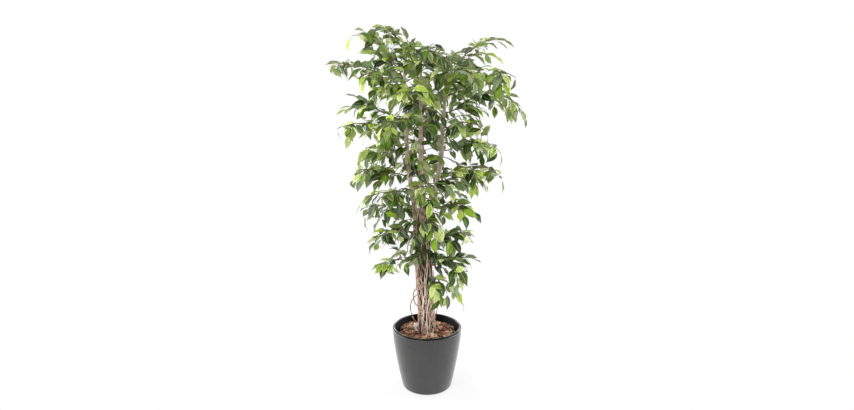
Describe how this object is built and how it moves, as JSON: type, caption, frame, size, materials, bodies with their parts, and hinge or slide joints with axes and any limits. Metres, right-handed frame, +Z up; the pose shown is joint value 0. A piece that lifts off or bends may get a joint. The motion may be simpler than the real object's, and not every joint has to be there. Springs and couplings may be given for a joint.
{
  "type": "potted ficus",
  "caption": "Tall ficus with drooping leafy branches on a bundle of stems and lianas, growing from coir mulch in a round tapered planter with a liner.",
  "frame": {"origin": "centre of the planter's flat underside, on the floor", "axes": "+Z up along the planter's axis, -Y towards the front, +X to the right as seen from the front"},
  "size_m": [0.9737, 0.7, 1.7732],
  "materials": {
    "planter": "satin",
    "liner": "gloss",
    "soil": "matte",
    "mulch": "matte",
    "bark": "matte",
    "pale_wood": "matte",
    "foliage": "satin"
  },
  "bodies": {
    "root": {"planter": "planter", "planter_liner": "liner", "potting_soil": "soil", "coir_mulch": "mulch", "stem_left": "bark", "stem_centre": "bark", "stem_right": "bark", "stem_back": "bark", "liana_1": "bark", "liana_2": "bark", "liana_3": "bark", "liana_4": "bark", "liana_5": "bark", "liana_6": "bark", "liana_7": "bark", "liana_8": "bark", "winding_vine_1": "bark", "winding_vine_2": "bark", "aerial_root_loop": "bark", "aerial_root_long": "bark", "root_tip_pale": "pale_wood", "basal_twig": "bark", "leafy_branch_01": "foliage", "leafy_branch_02": "foliage", "leafy_branch_03": "foliage", "leafy_branch_04": "foliage", "leafy_branch_05": "foliage", "leafy_branch_06": "foliage", "leafy_branch_07": "foliage", "leafy_branch_08": "foliage", "leafy_branch_09": "foliage", "leafy_branch_10": "foliage", "leafy_branch_11": "foliage", "leafy_branch_12": "foliage", "leafy_branch_13": "foliage", "leafy_branch_14": "foliage", "leafy_branch_15": "foliage", "leafy_branch_16": "foliage", "leafy_branch_17": "foliage", "leafy_branch_18": "foliage", "leafy_branch_19": "foliage", "leafy_branch_20": "foliage", "leafy_branch_21": "foliage", "leafy_branch_22": "foliage", "leafy_branch_23": "foliage", "leafy_branch_24": "foliage", "leafy_branch_25": "foliage", "leafy_branch_26": "foliage", "leafy_branch_27": "foliage", "leafy_branch_28": "foliage", "leafy_branch_29": "foliage", "leafy_branch_30": "foliage", "leafy_branch_31": "foliage", "leafy_branch_32": "foliage", "leafy_branch_33": "foliage", "leafy_branch_34": "foliage", "leafy_branch_35": "foliage", "leafy_branch_36": "foliage", "leafy_branch_37": "foliage", "leafy_branch_38": "foliage"}
  },
  "joints": []
}
